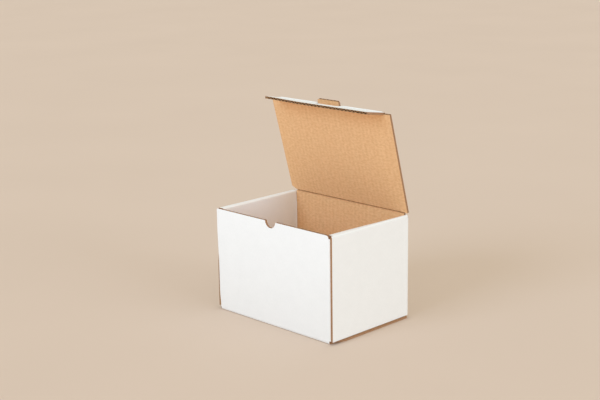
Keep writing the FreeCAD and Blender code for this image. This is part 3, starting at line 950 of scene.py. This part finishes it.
class Nodes:
    """Builds one procedural material."""

    def __init__(self, name, roughness, specular):
        self.material = bpy.data.materials.new(name)
        self.material.use_nodes = True
        self.tree = self.material.node_tree
        self.shader = self.tree.nodes["Principled BSDF"]
        self.shader.inputs["Roughness"].default_value = roughness
        self.shader.inputs["Specular IOR Level"].default_value = specular

    def new(self, kind, **settings):
        node = self.tree.nodes.new(kind)
        for name, value in settings.items():
            setattr(node, name, value)
        return node

    def link(self, source, target):
        self.tree.links.new(source, target)

    def compute(self, operation, first, second=None):
        node = self.new("ShaderNodeMath", operation=operation)
        for socket, value in zip(node.inputs, (first, second)):
            if value is None:
                continue
            if isinstance(value, (int, float)):
                socket.default_value = value
            else:
                self.link(value, socket)
        return node.outputs[0]

    def noise(self, scale, detail=3.0, stretch=(1, 1, 1), flat=False):
        """Noise over the object's place, or over the flat sheet."""
        if flat:
            source = self.new("ShaderNodeUVMap", uv_map="sheet").outputs["UV"]
        else:
            source = self.new("ShaderNodeTexCoord").outputs["Object"]
        mapping = self.new("ShaderNodeMapping")
        mapping.inputs["Scale"].default_value = stretch
        self.link(source, mapping.inputs["Vector"])
        node = self.new("ShaderNodeTexNoise")
        node.inputs["Scale"].default_value = scale
        node.inputs["Detail"].default_value = detail
        self.link(mapping.outputs["Vector"], node.inputs["Vector"])
        return node.outputs["Fac"]

    def flutes(self):
        """A wave across the flutes, from 0 to 1."""
        place = self.new("ShaderNodeUVMap", uv_map="sheet").outputs["UV"]
        parts = self.new("ShaderNodeSeparateXYZ")
        self.link(place, parts.inputs[0])
        turn = self.compute("MULTIPLY", parts.outputs[0], 2 * math.pi / (FLUTE_PITCH * MM))
        wave = self.compute("SINE", turn)
        return self.compute("ADD", self.compute("MULTIPLY", wave, 0.5), 0.5)

    def ramp(self, value, stops):
        node = self.new("ShaderNodeValToRGB")
        elements = node.color_ramp.elements
        while len(elements) < len(stops):
            elements.new(0.5)
        for element, (place, colour) in zip(elements, stops):
            element.position = place
            element.color = colour
        self.link(value, node.inputs["Fac"])
        return node.outputs["Color"]

    def mix(self, share, first, second):
        node = self.new("ShaderNodeMix", data_type="RGBA")
        sockets = [node.inputs[0], node.inputs[6], node.inputs[7]]
        for socket, value in zip(sockets, (share, first, second)):
            if isinstance(value, (int, float, tuple)):
                socket.default_value = value
            else:
                self.link(value, socket)
        return node.outputs[2]

    def bump(self, height, strength, distance, after=None):
        node = self.new("ShaderNodeBump")
        node.inputs["Strength"].default_value = strength
        node.inputs["Distance"].default_value = distance
        self.link(height, node.inputs["Height"])
        if after:
            self.link(after, node.inputs["Normal"])
        return node.outputs["Normal"]

    def finish(self, colour, normal):
        self.link(colour, self.shader.inputs["Base Color"])
        self.link(normal, self.shader.inputs["Normal"])
        return self.material


def white_liner():
    nodes = Nodes("white_liner", 0.62, 0.35)
    cloud = nodes.noise(60.0, 4.0)
    colour = nodes.ramp(cloud, [(0.3, srgb(242, 244, 243)), (0.7, srgb(245, 247, 246))])
    fibres = nodes.noise(900.0, 2.0, stretch=(1, 0.3, 1), flat=True)
    grain = nodes.ramp(fibres, [(0.35, srgb(239, 241, 240)), (0.65, srgb(248, 249, 248))])
    colour = nodes.mix(0.3, colour, grain)
    normal = nodes.bump(nodes.flutes(), 0.25, 0.00012)
    normal = nodes.bump(fibres, 0.15, 0.00008, normal)
    return nodes.finish(colour, normal)


def kraft_liner():
    nodes = Nodes("kraft_liner", 0.85, 0.2)
    cloud = nodes.noise(70.0, 4.0)
    colour = nodes.ramp(cloud, [(0.3, srgb(231, 186, 136)), (0.7, srgb(238, 193, 144))])
    bands = nodes.ramp(nodes.flutes(), [(0.2, srgb(242, 199, 150)), (0.9, srgb(222, 175, 126))])
    colour = nodes.mix(0.45, colour, bands)
    fleck = nodes.noise(400.0, 2.0, stretch=(0.55, 1, 1), flat=True)
    shade = nodes.ramp(fleck, [(0.36, srgb(214, 163, 110)), (0.64, srgb(250, 208, 160))])
    colour = nodes.mix(0.46, colour, shade)
    fibres = nodes.noise(1700.0, 3.0, stretch=(1, 0.4, 1), flat=True)
    specks = nodes.ramp(fibres, [(0.35, srgb(210, 159, 106)), (0.6, srgb(246, 203, 155))])
    colour = nodes.mix(0.25, colour, specks)
    streaks = nodes.noise(300.0, 2.0, stretch=(1, 0.08, 1), flat=True)
    lines = nodes.ramp(streaks, [(0.35, srgb(226, 178, 126)), (0.65, srgb(241, 196, 146))])
    colour = nodes.mix(0.14, colour, lines)
    normal = nodes.bump(nodes.flutes(), 0.8, 0.0003)
    normal = nodes.bump(fleck, 0.35, 0.0003, normal)
    normal = nodes.bump(fibres, 0.3, 0.00015, normal)
    return nodes.finish(colour, normal)


def bare_kraft(name, roughness, specular, low, high):
    """Kraft paper that is cut, waved or pressed, or painted darker as painted shade, from its darkest to
    its palest.
    """
    nodes = Nodes(name, roughness, specular)
    fibres = nodes.noise(1200.0, 3.0)
    colour = nodes.ramp(fibres, [(0.3, srgb(*low)), (0.7, srgb(*high))])
    return nodes.finish(colour, nodes.bump(fibres, 0.5, 0.0002))


def raw_edge():
    return bare_kraft("raw_edge", 0.92, 0.15, (154, 114, 82), (196, 155, 120))


def flute_paper():
    return bare_kraft("flute_paper", 0.92, 0.15, (178, 136, 94), (212, 170, 126))


def channel_paper():
    """The depth of the flutes, where little light comes: kraft painted darker as painted shade."""
    return bare_kraft("channel_paper", 0.95, 0.1, (120, 84, 56), (152, 112, 78))


# Painted shade: kraft painted darker for the shade along the crease's hollow.
def creased_kraft():
    return bare_kraft("creased_kraft", 0.95, 0.1, (158, 112, 72), (188, 140, 96))


# In the order of WHITE_SKIN to PAINTED_CREASE_SHADE.
MATERIALS = [white_liner(), kraft_liner(), raw_edge(), flute_paper(), channel_paper(), creased_kraft()]

tray = make_object("folded_tray", board_mesh(build_tray()), "tray", MATERIALS)
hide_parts("tray")
lid = make_object("lid_panel", board_mesh(build_lid()), "lid", MATERIALS)
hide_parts("lid")
flap = make_object("tuck_flap_panel", board_mesh(build_flap()), "tuck_flap", MATERIALS)
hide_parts("tuck_flap")

lid_crease = make_object(
    "lid_crease",
    board_mesh(build_crease(
        LID_ORIGIN,
        angle=90.0,
        bend=90.0 - LID_OPEN,
        reach=LID_CREASE_REACH,
        outer_level=1.2,
        inner_level=0.8,
        spans=[(-CREASE_HALF, CREASE_RIGHT)],
        flat_start=SHEET_HINGE,
        ridge=0.7,
    )),
    None,
    MATERIALS,
)
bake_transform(lid_crease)

flap_crease = make_object(
    "flap_crease",
    board_mesh(build_crease(
        FLAP_ORIGIN,
        angle=LID_OPEN,
        bend=FLAP_FOLD,
        reach=FLAP_CREASE_REACH,
        outer_level=2.6,
        inner_level=-0.35,
        spans=[(-FOLD_HALF, -SLOT_HALF), (SLOT_HALF, FOLD_HALF)],
        flat_start=SHEET_FLAP,
    )),
    None,
    MATERIALS,
)
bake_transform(flap_crease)

# Floor, light and camera. Lengths here are metres.

FLOOR_REACH = 12.0
floor_mesh = bpy.data.meshes.new("floor")
corners = [(x * FLOOR_REACH, y * FLOOR_REACH, 0) for x, y in ((-1, -1), (1, -1), (1, 1), (-1, 1))]
floor_mesh.from_pydata(corners, [], [(0, 1, 2, 3)])
floor = bpy.data.objects.new("floor", floor_mesh)
bpy.context.scene.collection.objects.link(floor)
floor_nodes = Nodes("floor_paper", 0.9, 0.1)
floor_tone = floor_nodes.noise(3.0, 2.0)
floor_colour = floor_nodes.ramp(floor_tone, [(0.3, srgb(219, 200, 183)), (0.7, srgb(221, 202, 185))])
floor_grain = floor_nodes.noise(700.0, 2.0)
floor_mesh.materials.append(floor_nodes.finish(floor_colour, floor_nodes.bump(floor_grain, 0.05, 0.0001)))

WORLD_COLOUR = (1.04, 1.0, 0.88, 1.0)
WORLD_STRENGTH = 0.735

world = bpy.data.worlds.new("studio")
bpy.context.scene.world = world
world.use_nodes = True
world.node_tree.nodes["Background"].inputs["Color"].default_value = WORLD_COLOUR
world.node_tree.nodes["Background"].inputs["Strength"].default_value = WORLD_STRENGTH


def way_to(azimuth, elevation):
    """The direction from the box, in degrees: azimuth 0 in front, 90 on the right."""
    around, up = math.radians(azimuth), math.radians(elevation)
    return Vector((math.sin(around) * math.cos(up), -math.cos(around) * math.cos(up), math.sin(up)))


def add_sun(name, azimuth, elevation, strength, softness, colour):
    """A soft lamp that shines from a direction."""
    data = bpy.data.lights.new(name, "SUN")
    data.color = colour
    data.energy = strength
    data.angle = math.radians(softness)
    lamp = bpy.data.objects.new(name, data)
    bpy.context.scene.collection.objects.link(lamp)
    lamp.rotation_mode = "QUATERNION"
    lamp.rotation_quaternion = way_to(azimuth, elevation).to_track_quat("Z", "Y")


add_sun("key", azimuth=-6.0, elevation=28.0, strength=0.8, softness=32.0, colour=(0.8, 1.0, 1.35))
add_sun("fill", azimuth=92.0, elevation=9.0, strength=0.69, softness=30.0, colour=(0.86, 1.0, 1.24))
add_sun("top", azimuth=80.0, elevation=55.0, strength=0.26, softness=80.0, colour=(1.0, 1.0, 1.06))


def add_card(name, place, size, power, colour):
    """A white card on the floor that throws light up at the open box."""
    data = bpy.data.lights.new(name, "AREA")
    data.shape = "RECTANGLE"
    data.size, data.size_y = size
    data.energy = power
    data.color = colour
    lamp = bpy.data.objects.new(name, data)
    bpy.context.scene.collection.objects.link(lamp)
    lamp.location = place
    lamp.rotation_euler = (math.pi, 0.0, 0.0)
    lamp.visible_camera = False


add_card("card", place=(0.0, -0.7, 0.004), size=(1.3, 0.86), power=2.3, colour=(0.88, 1.0, 1.14))

# The camera, found from the straight edges of the box in the photograph. Its
# distances are in heights of the box.
LENS_PIXELS = 1241.0
FRAME_PIXELS = 600.0
SENSOR = 36.0
CAMERA_AZIMUTH = 45.218
CAMERA_ELEVATION = 13.868
CAMERA_ROLL = -0.808
CAMERA_RIGHT = -0.110
CAMERA_UP = 0.5909
CAMERA_DISTANCE = 11.730


def place_camera():
    data = bpy.data.cameras.new("camera")
    data.sensor_width = SENSOR
    data.lens = SENSOR * LENS_PIXELS / FRAME_PIXELS
    camera = bpy.data.objects.new("camera", data)
    bpy.context.scene.collection.objects.link(camera)
    back = way_to(CAMERA_AZIMUTH, CAMERA_ELEVATION)
    level = Vector((0, 0, 1)).cross(back).normalized()
    upright = back.cross(level)
    cosine, sine = math.cos(math.radians(CAMERA_ROLL)), math.sin(math.radians(CAMERA_ROLL))
    right = level * cosine + upright * sine
    up = upright * cosine - level * sine
    unit = HEIGHT * MM
    place = Vector((0, 0, 0.5)) + back * CAMERA_DISTANCE + right * CAMERA_RIGHT + up * CAMERA_UP
    rotation = Matrix((right, up, back)).transposed().to_4x4()
    camera.matrix_world = Matrix.Translation(place * unit) @ rotation
    bpy.context.scene.camera = camera


place_camera()
bpy.context.scene.view_settings.view_transform = "Standard"
